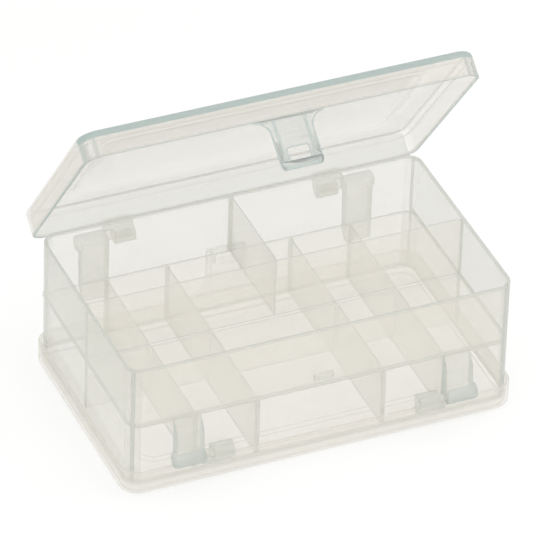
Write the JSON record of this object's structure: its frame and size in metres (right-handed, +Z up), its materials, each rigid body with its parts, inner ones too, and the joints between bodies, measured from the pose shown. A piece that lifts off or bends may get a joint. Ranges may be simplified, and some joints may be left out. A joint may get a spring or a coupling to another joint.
{
  "type": "embroidery thread box",
  "caption": "Double-sided clear plastic thread box: a divided case with a floor at mid height and a hinged snap lid on each face.",
  "frame": {"origin": "centre of the footprint, on the outer face of the bottom lid that the box rests on", "axes": "+X along the length, +Y towards the top lid's hinge, +Z up; the top lid stands open at 53 degrees in this rest pose"},
  "size_m": [0.215, 0.1526, 0.1794],
  "materials": {
    "case_plastic": "smooth moulded translucent plastic, colourless with a faint warm tint",
    "lid_plastic": "smooth moulded translucent plastic, colourless with a faint cool tint at thick edges"
  },
  "bodies": {
    "case": {"case_wall": "case_plastic", "case_floor": "case_plastic", "upper_long_divider": "case_plastic", "upper_cross_divider": "case_plastic", "lower_cross_divider_1": "case_plastic", "lower_cross_divider_2": "case_plastic", "lower_cross_divider_3": "case_plastic", "lower_cross_divider_4": "case_plastic", "lower_long_divider_1": "case_plastic", "lower_long_divider_2": "case_plastic", "lower_long_divider_3": "case_plastic", "lower_long_divider_4": "case_plastic", "lower_long_divider_5": "case_plastic", "rear_hinge_post_left": "case_plastic", "rear_hinge_post_right": "case_plastic", "front_hinge_post_left": "case_plastic", "front_hinge_post_right": "case_plastic", "rear_hinge_pin_left": "case_plastic", "rear_hinge_pin_right": "case_plastic", "front_hinge_pin_left": "case_plastic", "front_hinge_pin_right": "case_plastic", "front_catch": "case_plastic", "rear_catch": "case_plastic"},
    "top_lid": {"top_lid_panel": "lid_plastic", "top_lid_rim": "lid_plastic", "top_lid_knuckle_left": "lid_plastic", "top_lid_knuckle_right": "lid_plastic"},
    "top_latch": {"top_lid_latch": "lid_plastic"},
    "bottom_lid": {"bottom_lid_panel": "lid_plastic", "bottom_lid_rim": "lid_plastic", "bottom_lid_knuckle_left": "lid_plastic", "bottom_lid_knuckle_right": "lid_plastic"},
    "bottom_latch": {"bottom_lid_latch": "lid_plastic"}
  },
  "joints": [
    {"name": "top_lid_hinge", "type": "hinge", "parent": "case", "child": "top_lid", "pos_m": [0, 0.0675, 0.063], "axis": [1, 0, 0], "range_deg": [-57, 53]},
    {"name": "bottom_lid_hinge", "type": "hinge", "parent": "case", "child": "bottom_lid", "pos_m": [0, -0.0675, 0.021], "axis": [-1, 0, 0], "range_deg": [0, 110]},
    {"name": "top_latch_flex", "type": "hinge", "parent": "top_lid", "child": "top_latch", "pos_m": [0, -0.00679, 0.1713], "axis": [-1, 0, 0], "range_deg": [0, 10], "stiffness_Nm_per_rad": 0.5},
    {"name": "bottom_latch_flex", "type": "hinge", "parent": "bottom_lid", "child": "bottom_latch", "pos_m": [0, 0.0637, 0.01515], "axis": [-1, 0, 0], "range_deg": [0, 10], "stiffness_Nm_per_rad": 0.5}
  ]
}
